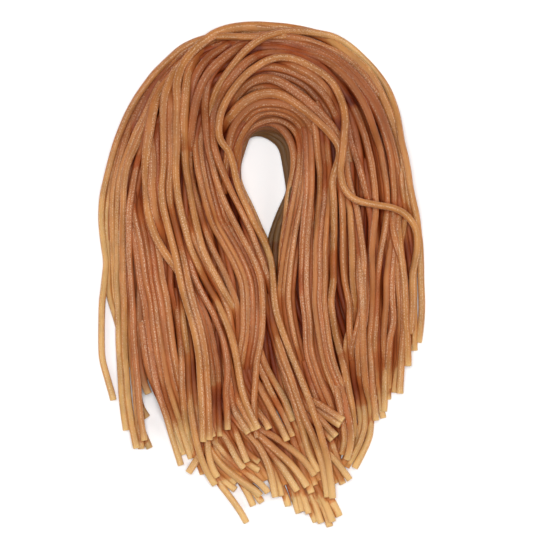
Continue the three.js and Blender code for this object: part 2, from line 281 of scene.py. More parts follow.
    single(TIPS, "ends, right stub", 6.2, (327, 452, 334, 460, 342, 470, 349.5, 481)),
    strand(TIPS, "ends, brown cluster", (308, 402, 318, 407, 328, 413, 337, 419, 345, 424), 2, 6.0,
        "dive cut"),
    strand(TIPS, "ends, brown cluster low", (308, 412, 318, 421, 327, 430, 335, 438), 2, 6.0, "dive cut"),
    # the left limb, on top
    single(LEFT, "left, cut below", 5.8, (190, 345, 192, 362, 194, 380, 195.5, 395, 198, 412, 200, 428,
        201.5, 442)),
    single(LEFT, "left, golden end", 6.2, (184, 330, 187, 355, 188, 375, 189, 392, 191, 410, 193.5, 428,
        196, 441, 199.5, 455, 204, 467, 209, 477, 214.5, 486), golden=0.9),
    single(LEFT, "left, end below", 6.2, (205, 415, 206.5, 430, 207, 440, 207.5, 452, 209.5, 462,
        213, 471, 217, 478), golden=0.9),
    single(LEFT, "left, middle dim", 5.8, (203, 308, 208, 322, 212, 338, 215, 352, 217.5, 368, 218.5, 385,
        218.5, 400, 219.5, 415, 220.5, 437)),
    strand(LEFT, "left, middle", (196, 303, 202, 318, 206, 335, 209, 352, 211.5, 368, 213, 383,
        213.5, 395, 213, 408, 212.5, 422)),
    single(LEFT, "left, middle end", 6.0, (200, 330, 202, 350, 203, 370, 204.5, 388, 205.5, 402,
        207.5, 415, 210.5, 427, 213.8, 437)),
    single(LEFT, "left, hollow", 6.2, (226, 350, 231, 370, 235, 388, 239, 400, 243, 408, 248, 417,
        253, 424, 256, 430)),
    single(LEFT, "left, hollow low", 7.0, (229, 385, 232, 400, 236, 412, 241, 420, 246, 427, 250, 433)),
    single(LEFT, "left, behind the golden", 6.2, (246, 392, 252, 402, 257, 410, 262.5, 417, 267, 423,
        270, 429)),
    single(LEFT, "left, second middle", 6.0, (190, 262, 194, 275, 199, 287, 204, 297, 209, 306, 214, 316,
        218.5, 327, 222.5, 338, 225, 350, 226.8, 362, 227.3, 372, 226.5, 382, 225.5, 392, 226, 402,
        226.5, 415, 227, 430)),
    strand(LEFT, "left, sixth low", (197, 245, 202, 255, 207, 264, 212, 274, 217, 284, 222, 294, 226, 303,
        229.5, 313, 231.5, 325)),
    single(LEFT, "centre, second", 6.0, (255, 258, 258, 267, 261, 277, 263.5, 290, 265.5, 302, 268, 315,
        270.5, 328, 274, 340, 277.5, 351, 281, 362, 285, 373, 289, 385, 293, 397, 296.5, 410, 300, 422,
        304, 434, 307, 446, 311, 457, 316, 466, 319.5, 472)),
    single(LEFT, "centre, short first", 6.2, (254, 330, 258, 345, 263, 360, 268, 371, 274, 382, 280, 392,
        285, 401, 289, 411, 293.5, 421), ends="duck cut", golden=0.4),
    single(LEFT, "centre, short second", 6.2, (251, 337, 254, 350, 259, 366, 265, 379, 270, 390, 275, 400,
        280, 409, 284.5, 418, 289, 428, 293, 437), ends="duck cut", golden=0.4),
    single(LEFT, "centre, short third", 6.2, (248, 353, 252, 368, 256, 379, 260, 388, 265, 398, 270, 407,
        275, 416, 280, 425, 284, 433, 288, 441), ends="duck cut", golden=0.4),
    single(LEFT, "centre, behind the long", 6.4, (276, 335, 281, 350, 285, 362, 290, 375, 294, 387,
        298.5, 400, 303, 412, 307.5, 423, 312, 433, 316, 443, 319, 452, 322, 462, 324, 472, 325.5, 484,
        327, 498)),
    # golden noodles of the left limb
    strand(LEFT, "outer left, second", (200, 44, 188, 48, 176.5, 54.5, 165, 63.5, 155, 73, 145.5, 85.5,
        138, 98, 131.5, 110.5, 126.5, 123, 122, 138, 118, 153, 114.8, 165, 111, 180, 108, 200, 107, 220,
        107.5, 240, 108, 262, 107.5, 280, 109, 295, 112, 306, 115.5, 317, 119, 330, 121.5, 342),
        ends="dive duck"),
    strand(LEFT, "outer left, third", (141, 103, 136, 113, 131, 124, 126, 138, 122, 152, 118.5, 166,
        114.5, 182, 112.5, 200, 112, 220, 112.5, 240, 113, 262, 113.5, 280, 114.8, 300, 117.5, 318,
        120, 335), ends="duck duck"),
    single(LEFT, "left flank, brown", 5.8, (127, 262, 127.5, 280, 129, 295, 130.5, 310, 131, 326,
        131.5, 345, 132.5, 365, 134.5, 385, 137, 402, 139, 416), ends="dive duck", golden=0.1),
    single(LEFT, "left flank, low end", 6.2, (131, 325, 132, 342, 133, 360, 134.5, 380, 136, 400,
        138.5, 420, 141, 436, 143.5, 449), ends="duck cut", golden=-0.1),
    single(LEFT, "left flank, golden", 6.4, (154, 96, 150, 105, 146, 113.5, 141.5, 121.5, 137, 130,
        133, 139, 129.5, 148, 125.5, 158, 121.5, 170, 119, 183, 117.5, 200, 117.2, 220, 117, 240,
        117, 262, 116.5, 280, 117.5, 300, 118, 320, 118, 340, 119, 360, 120.3, 380, 121.6, 400,
        123.3, 415, 125.8, 431), golden=0.9),
    single(LEFT, "left flank, second", 6.4, (154, 104, 150, 114, 146.5, 122, 142, 131, 138, 140, 134, 149,
        129.5, 158, 126.5, 167, 124.5, 178, 123.5, 190, 123.5, 205, 123, 220, 122.5, 240, 122.5, 262,
        122.5, 280, 124, 300, 124.5, 320, 124.3, 340, 125.2, 360, 126.6, 380, 128.2, 400, 130.5, 418,
        133, 432, 136, 449), golden=0.9),
    single(LEFT, "left flank, third", 6.2, (150, 122, 148, 130, 145.5, 140, 142.5, 150, 138.5, 160,
        136, 170, 134, 180, 132, 192, 130, 204, 129, 216, 129, 230, 129, 248, 129.5, 262, 131, 280,
        132.5, 300, 133.5, 320, 134.5, 340, 136, 360, 137.5, 380, 138.8, 400, 140.3, 420, 143.5, 441),
        golden=0.15),
    single(LEFT, "left, fifth golden", 6.2, (268, 29, 256, 28, 245, 28.8, 235, 30.5, 224.5, 34, 216, 38.6,
        209, 44, 202, 51.5, 196, 60, 191.5, 68, 188.6, 76, 187, 86, 186, 97, 185, 110, 184, 125,
        184.5, 150, 186, 170, 188.5, 185, 191, 200, 194, 215, 197, 228, 200, 240, 203, 250, 207.5, 260,
        213, 271, 219, 282, 225, 293, 231, 303, 236, 314, 239, 326), ends="dive duck", golden=0.9),
    strand(LEFT, "left, first golden", (182, 66, 177, 71, 172, 77, 166, 84, 160, 92, 156, 100, 153, 110,
        151, 122, 149, 135, 147, 150, 146, 165, 146, 180, 146.5, 195, 147.5, 210, 150, 222, 154, 234,
        159, 244, 165, 254, 171, 262, 177, 270), 1, 7.2, golden=0.9),
    single(LEFT, "left, third", 6.2, (185, 59, 179, 64, 175, 71, 172.5, 80, 171.8, 88, 171.3, 97,
        171, 110, 171, 130, 171, 150, 170.5, 170, 169, 185, 169.5, 200, 172.5, 215, 177, 232, 182, 252,
        185.5, 268, 189, 285, 194, 305, 199, 322, 203, 340, 206, 360, 207, 380, 208, 395, 208.5, 415,
        209, 430, 209, 440), ends="duck cut", golden=0.6),
    single(LEFT, "left, second golden", 6.6, (186, 60, 180, 66, 175, 72, 170, 82, 167, 90, 165, 98,
        163.8, 110, 163.8, 130, 164, 150, 163.5, 165, 162, 182, 162, 195, 163.5, 208, 167, 222,
        171.5, 240, 175.5, 255, 178.5, 270, 182, 287, 187, 305, 192, 322, 196, 340, 199, 360, 200, 380,
        201, 395, 202, 415, 202.5, 430, 203, 442), golden=0.9),
    # over the fold from limb to limb
    single(FOLD, "over the fold, sixth", 5.8, (254.7, 396, 255.7, 379, 256.5, 364, 258.5, 352, 261, 336,
        262, 320, 261.8, 300, 259.6, 278, 251.5, 256, 241.5, 237, 231, 217, 223, 200, 216.5, 182,
        212, 165, 208.5, 150, 206, 133, 204.8, 115, 205, 102, 207, 86, 213, 73, 221, 63, 231, 55, 243, 50,
        256, 48, 270, 47.5, 285, 49, 300, 53, 318, 57.5, 330, 63, 340, 71, 349, 80, 356, 90, 362, 100,
        368, 113, 372, 124, 376, 136, 380, 148, 382, 160, 384, 172, 386, 185, 387, 200, 387, 210,
        386, 220, 384, 235, 381, 250, 379, 265, 377.5, 280, 377, 300, 376, 320, 374.5, 340, 375.5, 360,
        376.5, 380, 378.5, 400, 382, 419), golden=0.4),
    single(FOLD, "over the fold, fifth", 5.8, (189, 172, 189.5, 160, 190, 148, 191, 136, 192.3, 124,
        194, 113, 196, 103, 199, 93, 203, 83, 209, 73, 217, 64, 226, 56, 236, 49, 248, 44.5, 262, 43,
        276, 43.5, 292, 46, 306, 49, 318, 53, 332, 60, 345, 70, 357, 82, 366, 94, 374, 107, 380, 120,
        385, 134, 389, 148, 391.5, 160, 393, 175, 394, 190, 394, 210, 392, 235, 390, 250, 388, 265,
        386.5, 280, 386.5, 300, 385, 320, 384, 340, 385, 360, 385, 380, 385, 400, 384.5, 412),
        ends="duck cut", golden=0.35),
    strand(RIGHT, "right, under the stray", (345, 112, 349, 128, 351, 140, 354, 150, 357, 160, 360, 170,
        362.5, 180, 365, 190, 367, 200, 369, 210, 371, 222, 371, 236)),
    strand(FOLD, "over the fold, seventh", (190, 108, 191.5, 94, 194, 81, 199, 70, 206, 60.5, 214, 53.5,
        224, 47, 235, 42, 247, 39, 262, 38, 272, 39, 285, 40, 300, 43, 318, 48.5, 332, 56, 346, 66,
        358, 77, 367, 88, 375, 101, 381, 113, 386, 126, 391, 140, 394, 152, 398, 170, 400, 190, 400, 205,
        398, 230, 396, 245, 394.5, 262, 393, 280, 393, 300, 394, 320, 390, 340, 389, 352),
        ends="duck dive"),
    single(FOLD, "over the fold, eighth", 5.8, (232, 47, 243, 41.5, 255, 37.5, 268, 36, 285, 37,
        305, 40.5, 322, 46.5, 338, 53.5, 352, 63, 363, 74, 372, 86, 382, 99, 388, 113, 393, 127, 397, 140,
        401, 155, 402, 170, 403, 185, 405, 200, 406, 215, 404, 230, 401, 245, 399, 262, 398.5, 280,
        400, 300, 400.5, 320, 400, 340, 400, 355, 397, 372, 394, 393), ends="duck cut"),
    single(RIGHT, "right, golden brown end", 6.0, (398, 250, 402, 262, 403, 280, 403.5, 300, 404, 320,
        403, 340, 402, 355, 401.6, 370, 401.2, 383, 401, 394)),
    single(RIGHT, "right, short golden", 6.4, (402, 258, 405, 280, 406, 300, 406.5, 320, 407.5, 335,
        408, 350, 408.2, 366), golden=0.9),
    single(LOOSE, "outer left", 6.0, (244, 37, 233, 36.5, 222, 36, 212, 36.4, 201, 38.9, 190, 43,
        180, 48.7, 170.4, 57.1, 160.6, 66.7, 150.8, 77.6, 142, 89.5, 134.5, 101, 127, 115, 121, 129,
        116, 142, 112, 155, 108.5, 168, 105.5, 180, 102.5, 193, 101, 205, 100.5, 218, 101.5, 232,
        103.5, 247, 105.6, 262, 104.6, 275, 103, 290, 101.5, 303, 101, 320, 100.8, 340, 101, 355,
        102.5, 365, 105, 375, 108, 387, 110, 395, 111, 401), golden=0.9),
    single(FOLD, "over the top", 6.8, (258.5, 429, 255, 422, 250.5, 413, 246.5, 403, 243.5, 394, 241, 384,
        239, 373, 237.2, 362, 235.5, 352, 232.8, 341, 229.5, 330, 225.5, 320, 221, 310, 216.5, 300,
        210.5, 290, 205, 280, 200, 269, 195, 258, 190.5, 247, 187, 235, 183, 220, 180, 207, 178, 195,
        176.5, 180, 176, 165, 176.8, 150, 177.3, 125, 177.8, 110, 177.8, 99, 177.2, 88, 178, 80,
        180.7, 70.7, 185, 61.5, 191.4, 52.9, 198, 46, 205, 40.2, 212, 35, 220, 31, 232, 27.6, 245, 25.9,
        258, 25.6, 272, 26.4, 286, 27.4, 300, 29.5, 308, 31.2, 316, 33.2, 325, 37, 334, 43, 344, 50,
        354.5, 57.3, 364.5, 66.5, 372.5, 76.8, 378.8, 88.3, 384, 99.5, 388.7, 110.5, 392.8, 122, 397, 133,
        400.5, 143, 403, 157, 405, 170, 407, 183, 409, 197, 411.5, 209, 414.5, 222, 416, 238, 415.5, 252,
        414.5, 266, 414, 280, 414.5, 300, 415, 320, 415, 340, 415.5, 351), ends="cut cut", golden=0.9),
    single(LOOSE, "across the fold", 6.0, (207, 121, 209, 112, 213, 100, 217, 90, 222, 82, 228, 73,
        234, 65, 241, 56, 248, 49, 256, 42.5, 264, 37.5, 272, 34.5, 282, 32, 292, 31, 301, 31,
        311.5, 31.9, 321.5, 33.5, 332, 35.8, 342, 40.6, 351.4, 47, 361.4, 56, 371.3, 66, 381.2, 78.2,
        389, 91.2, 394, 104.5, 397.4, 116.4, 399.8, 130.2, 401.8, 142, 405, 155, 408, 170, 410, 185,
        413, 200, 416.5, 215, 418.5, 230, 420.5, 245, 421.5, 262, 422, 280, 423, 300, 423, 315, 422, 330,
        420.5, 343), ends="duck cut", golden=0.9),
    single(FOLD, "over the fold, fourth", 5.8, (266, 272, 262, 260, 258, 250, 254, 240, 250, 230,
        245, 220, 240, 210, 235, 200, 230, 190, 226, 181, 221.5, 170, 217.5, 159, 214.5, 148, 213, 137,
        213, 124, 214, 113, 217, 103, 221, 95, 226, 86, 232, 78, 238, 71, 245, 64, 252, 59, 260, 55,
        270, 53.5, 282, 53.5, 295, 56, 308, 61, 320, 67.5, 331, 77, 341, 88, 349, 100, 356, 114, 361, 126,
        365, 138, 368, 150, 371, 162, 373, 175, 375, 190, 376, 210, 374.5, 225, 373, 240, 372, 255,
        372.5, 280, 372, 300, 371, 320, 369, 340, 370.5, 360, 371.5, 380, 373, 395, 376, 421),
        golden=0.35),
    single(LOOSE, "wanderer", 6.4, (413, 292, 413, 276, 415, 264, 417, 252, 417.5, 240, 416, 230,
        412, 222, 407, 216, 400, 211, 390, 207.5, 380, 206, 370, 204, 360, 202, 352, 198, 347, 193,
        343, 186, 341, 178, 340.5, 168, 342, 158, 343, 148, 344, 136, 345, 125, 344.5, 114, 342, 103,
        338, 93, 332, 83, 324, 75.5, 314, 69, 303, 63, 291, 58.8, 279, 58, 267, 61.5, 256, 68,
        248.5, 73.5, 242.5, 79, 237, 85.5, 231, 93.5, 226, 102, 221, 113, 219, 125, 219, 135, 222, 143,
        228, 150, 232, 160, 234.5, 170, 236.5, 180, 239.5, 190, 243.8, 200, 248.5, 210, 253, 220,
        258.3, 230, 263.3, 240, 267.8, 250, 271.5, 262, 273.5, 280, 274.5, 295, 276, 308, 279, 320,
        282.5, 331, 286, 341, 289.5, 351, 293.5, 361, 297.5, 371, 302, 382, 306, 392, 310, 403, 314, 415,
        318.5, 427, 322, 440, 325, 450, 328, 462, 330, 475, 332, 487, 333, 499), golden=0.9),
)


# ---------------------------------------------------------------- the user's sizes and colours
class NoodleSizes(PropertyGroup):
    """How many noodles there are, and how big they are"""
    noodle_width: FloatProperty(
        name="Noodle width", description="Width of one noodle", default=0.00215, unit="LENGTH", precision=5)
    width_spread: FloatProperty(
        name="Width spread", description="How far noodles differ in width, as a share", default=0.05)
    squareness: FloatProperty(
        name="Squareness", description="2 is a round section, 4 nearly square", default=2.6, min=2.0, max=6.0)
    hidden_noodles: IntProperty(
        name="Noodles inside", description="Whole noodles that lie under those that show", default=36)
    floor_noodles: IntProperty(
        name="Noodles below", description="Whole noodles on the table, under the core", default=24)
    core_depth: FloatProperty(
        name="Core depth", description="How far the core stays below the bundle's surface", default=0.0062,
        unit="LENGTH", precision=4)
    core_inset: FloatProperty(
        name="Core inset", description="How far the core stays inside the outline", default=0.0055,
        unit="LENGTH")


class NoodleColours(PropertyGroup):
    """The colours of the noodles, and what shades them"""
    golden: FloatVectorProperty(
        name="Golden", description="A pale noodle", subtype="COLOR", size=3, default=(0.47, 0.212, 0.064))
    brown: FloatVectorProperty(
        name="Brown", description="A darker noodle", subtype="COLOR", size=3, default=(0.395, 0.134, 0.044))
    # partly the cut face's own starchy colour, partly painted light through the thin tips
    cut: FloatVectorProperty(
        name="Cut end", description="The starchy cut face", subtype="COLOR", size=3,
        default=(0.82, 0.55, 0.235))
    # the grains' colour is partly the starch's own, partly a painted sheen
    grain_and_sheen: FloatVectorProperty(
        name="Grain", description="The pale grains along a noodle", subtype="COLOR", size=3,
        default=(0.80, 0.62, 0.44))
    # deep and flank are painted shade: what the gaps between the noodles and the noodles' sides are darkened
    # by
    deep: FloatVectorProperty(
        name="Deep", description="What the gaps between noodles keep of the colour", subtype="COLOR", size=3,
        default=(0.50, 0.25, 0.12))
    flank: FloatVectorProperty(
        name="Flank", description="What the sides of a noodle keep of the colour", subtype="COLOR", size=3,
        default=(0.88, 0.63, 0.46))
    fold: FloatVectorProperty(
        name="Fold", description="What the noodles over the fold are shaded by", subtype="COLOR", size=3,
        default=(0.66, 0.50, 0.41))
    # painted shade towards each noodle's sides
    side: FloatVectorProperty(
        name="Side", description="What the side of a noodle is shaded by", subtype="COLOR", size=3,
        default=(0.90, 0.63, 0.42))
    # shaded is painted shade, for noodles that lie in shadow, as in the wall of the eye
    shaded: FloatVectorProperty(
        name="Shaded", description="A noodle in the wall of the eye", subtype="COLOR", size=3,
        default=(0.125, 0.058, 0.016))
    # pale is painted light: noodles that lie thinly on the floor look lit through from below
    pale: FloatVectorProperty(
        name="Pale", description="A noodle that lies thinly on the table", subtype="COLOR", size=3,
        default=(0.63, 0.40, 0.155))


# ---------------------------------------------------------------- ways and levels
SEED = 7
STEP = 0.001           # from point to point of a noodle's way
CELL = 0.0004          # a cell of the pile's grid
MARGIN = 0.008         # what the grid has round the bundle
CUT, DIVE = "cut", "dive"
DIVE_LENGTH = 0.014    # the stretch of a noodle that sinks out of sight
DIVE_DEPTH = 0.0048    # how far it sinks
TURN = 0.14            # what a dived end takes of its neighbours' direction at each step
STIFFNESS = 60.0       # how sharply a noodle bends down from what it lies on, in 1/m
SPAN = 0.014           # how far from there it is still held up
FOOT = 0.8             # what is under this share of a noodle's radius holds it up
TRIM_STEPS = 4         # the noodles of a ribbon end within so many steps
COMMON_LEVEL = 0.65    # how far a ribbon's noodles are drawn to the level of its highest one
RIBBON_WIDTH = 0.60    # half a noodle's width as a share of its pitch, in a ribbon
SINGLE_WIDTH = 0.57    # and alone
WHOLE_POINTS = 320     # points of a noodle that runs from tip to tip
TIP_START, TIP_END = 0.03, 0.97    # the tips along the route
TIP_SPREAD = 0.07      # how far inside them whole noodles may end
CORE_START, CORE_END = 0.08, 0.92  # the core along the route
CORE_TAPER = 0.06      # the stretch that it thins out over
CORE_LEAST = 0.0012    # the least height of its top
TOP = CAD_HIGH.z - 0.0001
RELIEF = 0.0036        # how deep below its form the noodles keep their true heights
PROUD = 0.0016         # how far single noodles stand above the bundle's form
RIM = 0.0034           # how high the bundle is at its edges
PRESS_STEP, PRESS_LEAST = 0.01, 0.6    # how the pile is pressed until it is low enough
ROUTE = np.linspace(0, 1, 400)     # where along the route the bundle's edges are known
BESIDE = (-0.0016, -0.0008, 0.0008, 0.0016)    # where a loose noodle feels what is beside it
MOUND_LANES = (0.0, 0.05, 0.13, 0.30, 0.45, 0.66, 0.80, 0.90, 0.96, 1.0)
MOUND_RISE = (0.42, 0.62, 0.82, 0.97, 1.0, 0.98, 0.86, 0.60, 0.30, 0.05)


def ramp(values, start, length):
    """0 up to start, 1 from start + length, and even between them."""
    return np.clip((values - start) / length, 0, 1)


def between(wanted, known, values):
    """A row of values for each wanted place, read between those at the known ones."""
    return np.stack([np.interp(wanted, known, column) for column in values.T], axis=-1)


def smooth_way(points, step):
    """A smooth line through the points, cut into even steps."""
    points = np.asarray(points, dtype=float)
    padded = np.vstack([2 * points[0] - points[1], points, 2 * points[-1] - points[-2]])
    share = np.linspace(0, 1, 9)[:-1, None]
    stretches = []
    for a, b, c, d in zip(padded[:-3], padded[1:-2], padded[2:-1], padded[3:]):
        stretches.append(0.5 * (2 * b + (c - a) * share + (2 * a - 5 * b + 4 * c - d) * share ** 2
                                + (3 * b - a - 3 * c + d) * share ** 3))
    return even_steps(np.vstack(stretches + [points[-1:]]), step)


def lengths_along(line):
    """How far along a line each of its points is."""
    return np.concatenate([[0], np.cumsum(np.linalg.norm(np.diff(line, axis=0), axis=1))])


def even_steps(line, step):
    """The same line with its points about one step apart."""
    lengths = lengths_along(line)
    count = max(4, int(round(lengths[-1] / step)) + 1)
    return between(np.linspace(0, lengths[-1], count), lengths, line)


def blur(values, width):
    """Values along a noodle, each one averaged with its neighbours."""
    reach = int(3 * width)
    weights = np.exp(-0.5 * (np.arange(-reach, reach + 1) / width) ** 2)
    padded = np.pad(values, reach, mode="edge")
    return np.convolve(padded, weights / weights.sum(), mode="valid")


def sideways(way):
    """The direction to the left of each point of a way."""
    along = np.gradient(way, axis=0)
    along /= np.linalg.norm(along, axis=1)[:, None] + 1e-12
    return np.stack([-along[:, 1], along[:, 0]], axis=1)


def wander(count, random, wave, amount):
    """A slow random drift along a noodle, count steps long."""
    return amount * blur(random.normal(size=count), wave) * math.sqrt(2 * wave)


class Lanes:
    """The bundle seen from above: a share of the route and a share of the width give a place."""

    def __init__(self):
        stations = np.array(STATIONS, dtype=float)
        self.shares = np.linspace(0, 1, len(stations))
        self.inner = self.smoothed(on_table(stations[:, :2]))
        self.outer = self.smoothed(on_table(stations[:, 2:4]))
        self.crest = self.smoothed(stations[:, 4:] * 0.001)[:, 0]

    def smoothed(self, values):
        """Values at the stations made into a smooth run of values along the route."""
        even = between(ROUTE, self.shares, values)
        return np.stack([blur(column, 9) for column in even.T], axis=1)

    def place(self, route, lane):
        """Where a share of the route and of the width is on the table."""
        inner = between(route, ROUTE, self.inner)
        outer = between(route, ROUTE, self.outer)
        lane = np.asarray(lane)[..., None]
        return inner * (1 - lane) + outer * lane

    def mound(self, route, lane):
        """How high the bundle's surface is meant to be there."""
        crest = np.interp(route, ROUTE, self.crest)
        rise = np.interp(lane, MOUND_LANES, MOUND_RISE)
        return RIM + (crest - RIM) * rise

    def flow(self):
        """Places all over the bundle, and the way that noodles run there."""
        route, lane = np.meshgrid(np.linspace(0.005, 0.995, 160), np.linspace(0, 1, 25), indexing="ij")
        places = self.place(route, lane)
        ahead = self.place(route + 0.004, lane) - self.place(route - 0.004, lane)
        ahead /= np.linalg.norm(ahead, axis=-1)[..., None]
        return places.reshape(-1, 2), ahead.reshape(-1, 2)


def carry_on(way, flow, length):
    """A way made longer at its end: it turns into the direction of the noodles round it."""
    places, ahead = flow
    heading = way[-1] - way[-4]
    heading /= np.linalg.norm(heading)
    points = [way[-1]]
    for _ in range(int(length / STEP)):
        near = ahead[np.argmin(((places - points[-1]) ** 2).sum(axis=1))]
        near = near * np.sign(near @ heading)
        heading = (1 - TURN) * heading + TURN * near
        heading /= np.linalg.norm(heading)
        points.append(points[-1] + heading * STEP)
    return np.vstack([way, points[1:]])


class Pile:
    """How high the noodles lie so far, on a fine grid seen from above."""

    def __init__(self, radius):
        self.radius = radius
        self.low = np.array([CAD_LOW.x - MARGIN, CAD_LOW.y - MARGIN])
        size = np.array([CAD_HIGH.x + MARGIN, CAD_HIGH.y + MARGIN]) - self.low
        self.shape = np.ceil(size / CELL).astype(int)
        self.height = np.zeros(self.shape)
        reach = int(math.ceil(radius / CELL))
        span = np.arange(-reach, reach + 1)
        self.near = np.stack(np.meshgrid(span, span, indexing="ij"), axis=-1).reshape(-1, 2)

    def cells(self, places):
        """The cell that each place lies in."""
        cells = np.clip(((places - self.low) / CELL).astype(int), 0, self.shape - 1)
        return cells[:, 0], cells[:, 1]

    def around(self, way):
        """The cells near each point of a way, and their distance from it."""
        cell = np.floor((way - self.low) / CELL).astype(int)
        cells = np.clip(cell[:, None, :] + self.near[None], 0, self.shape - 1)
        centres = self.low + (cells + 0.5) * CELL
        return cells, np.linalg.norm(centres - way[:, None, :], axis=2)

    def rest(self, way):
        """How high the middle of a noodle lies when it rests on what is under it."""
        cells, distance = self.around(way)
        foot = np.sqrt(np.clip(self.radius ** 2 - distance ** 2, 0, None))
        level = self.height[cells[..., 0], cells[..., 1]] + foot
        level[distance > FOOT * self.radius] = 0
        return level.max(axis=1)

    def settle(self, way):
        """The level of a stiff noodle: it spans hollows, and sinks a little into its bed."""
        level = self.rest(way)
        bed = level.copy()
        for shift in range(1, int(SPAN / STEP)):
            drop = STIFFNESS * (shift * STEP) ** 2
            bed[shift:] = np.maximum(bed[shift:], level[:-shift] - drop)
            bed[:-shift] = np.maximum(bed[:-shift], level[shift:] - drop)
        return blur(bed, 2.2)

    def cover(self, way, level):
        """Adds a noodle to the pile."""
        fine = even_steps(np.column_stack([way, level]), CELL)
        cells, distance = self.around(fine[:, :2])
        top = fine[:, 2, None] + np.sqrt(np.clip(self.radius ** 2 - distance ** 2, 0, None))
        top[distance > self.radius] = 0
        np.maximum.at(self.height, (cells[..., 0].ravel(), cells[..., 1].ravel()), top.ravel())

    @staticmethod
    def spread(field, reach, choose):
        """Each cell takes the highest or the lowest value within reach."""
        for axis in (0, 1):
            widest = field.copy()
            for shift in range(1, reach + 1):
                widest = choose(widest, np.roll(field, shift, axis))
                widest = choose(widest, np.roll(field, -shift, axis))
            field = widest
        return field

    def closed(self, reach):
        """The pile's upper surface with the gaps between its noodles bridged."""
        return self.spread(self.spread(self.height, reach, np.maximum), reach, np.minimum)

    @staticmethod
    def softened(field, width):
        """A field blurred over so many cells."""
        weights = np.exp(-0.5 * (np.arange(-3 * width, 3 * width + 1) / width) ** 2)
        weights /= weights.sum()
        for axis in (0, 1):
            total = np.zeros_like(field)
            for weight, shift in zip(weights, range(-3 * width, 3 * width + 1)):
                total += weight * np.roll(field, shift, axis)
            field = total
        return field

    def read(self, field, points):
        """What a field holds under each point."""
        return field[self.cells(points[:, :2])]


Noodle = namedtuple("Noodle", "piece line radius half_width tint cut_start cut_end")

work = {}


def core_level(lanes, route, lane, sizes):
    """The top of the core: a few noodles below the bundle's surface."""
    taper = np.clip(min(route - CORE_START, CORE_END - route) / CORE_TAPER, 0.3, 1)
    return np.maximum((lanes.mound(route, lane) - sizes.core_depth) * taper, CORE_LEAST)


def varied(random, sizes):
    """By how much one noodle's width differs from the others'."""
    return 1 + sizes.width_spread * random.normal() * 0.6


def lay_noodle(pile, random, piece, way, radius, ends, level=None, golden=None, half_width=None):
    """Adds one noodle to the pile. An end that isn't cut sinks out of sight."""
    if level is None:
        level = pile.settle(way)
    along = np.arange(len(way)) * STEP
    for left, end in zip((along, along[-1] - along), ends):
        if end != CUT:
            share = np.clip(1 - left / DIVE_LENGTH, 0, 1)
            level = level - DIVE_DEPTH * share ** 2 * (3 - 2 * share)
    level = np.maximum(level, 0.97 * radius)
    pile.cover(way, level)
    line = np.column_stack([way, level])
    tint = golden if golden is not None else 0.55 * random.random() ** 1.5
    work["noodles"].append(
        Noodle(piece, line, radius, half_width or radius, tint, ends[0] == CUT, ends[1] == CUT))


def lay_strand(pile, random, item, sizes):
    """Lays a ribbon of noodles side by side, at nearly one level."""
    middle = smooth_way(on_table(item.way), STEP)
    if item.ends[0] == DIVE:
        middle = carry_on(middle[::-1], work["flow"], DIVE_LENGTH)[::-1]
    if item.ends[1] == DIVE:
        middle = carry_on(middle, work["flow"], DIVE_LENGTH)
    middle = even_steps(middle, STEP)
    side = sideways(middle)
    members = []
    drift = wander(len(middle), random, 14, 0.00010)
    for index in range(item.count):
        offset = (index - (item.count - 1) / 2) * item.pitch * PIXEL
        own = offset + drift + wander(len(middle), random, 9, 0.00006)
        way = middle + side * own[:, None]
        if item.count > 1:
            trims = [int(random.integers(0, TRIM_STEPS)) for _ in range(2)]
            way = way[trims[0]: len(way) - trims[1]]
        way = even_steps(way, STEP)
        members.append((way, pile.settle(way)))
    width_share = RIBBON_WIDTH if item.count > 1 else SINGLE_WIDTH
    for way, level in members:
        if item.count > 1:
            shares = np.linspace(0, 1, len(level))
            highest = np.max([np.interp(shares, np.linspace(0, 1, len(other)), other)
                              for _, other in members], axis=0)
            level = (1 - COMMON_LEVEL) * level + COMMON_LEVEL * highest
        radius = 0.5 * sizes.noodle_width * varied(random, sizes)
        golden = item.golden
        if golden is not None:
            golden = golden - 0.15 * abs(golden) * random.random()
        half_width = width_share * item.pitch * PIXEL * varied(random, sizes)
        lay_noodle(pile, random, item.piece, way, radius, item.ends, level, golden, half_width)


def lay_whole_noodle(pile, random, lanes, piece, lane, sizes, inset=0.0):
    """A noodle that follows the bundle from tip to tip in its own lane."""
    start = TIP_START + inset + TIP_SPREAD * random.random()
    end = TIP_END - inset - TIP_SPREAD * random.random()
    route = np.linspace(start, end, WHOLE_POINTS)
    drift = lane + wander(WHOLE_POINTS, random, 40, 0.02)
    # the rims of the eye and of the right crown are left to single noodles
    near = 0.03 + 0.04 * np.exp(-((route - 0.42) / 0.16) ** 2)
    rim = 0.97 - 0.13 * np.exp(-((route - 0.62) / 0.06) ** 2)
    way = even_steps(lanes.place(route, np.clip(drift, near, rim)), STEP)
    radius = 0.5 * sizes.noodle_width * varied(random, sizes)
    lay_noodle(pile, random, piece, way, radius, (CUT, CUT))


def lay_bundle(sizes):
    """Lays every noodle once, from the table up, and keeps them for the pieces."""
    random = np.random.default_rng(SEED)
    lanes = Lanes()
    pile = Pile(0.5 * sizes.noodle_width)
    work.update(noodles=[], pile=pile, lanes=lanes, flow=lanes.flow())
    for index in random.permutation(sizes.floor_noodles):
        lane = 0.04 + 0.92 * (index + random.random()) / sizes.floor_noodles
        lay_whole_noodle(pile, random, lanes, "noodles_below", lane, sizes)
    raise_core(pile, lanes, sizes)
    for index in random.permutation(sizes.hidden_noodles):
        lane = 0.03 + 0.94 * (index + random.random()) / sizes.hidden_noodles
        lay_whole_noodle(pile, random, lanes, "noodles_inside", lane, sizes, inset=0.02)
    for item in STRANDS:
        lay_strand(pile, random, item, sizes)
    settle_pile(pile, lanes)


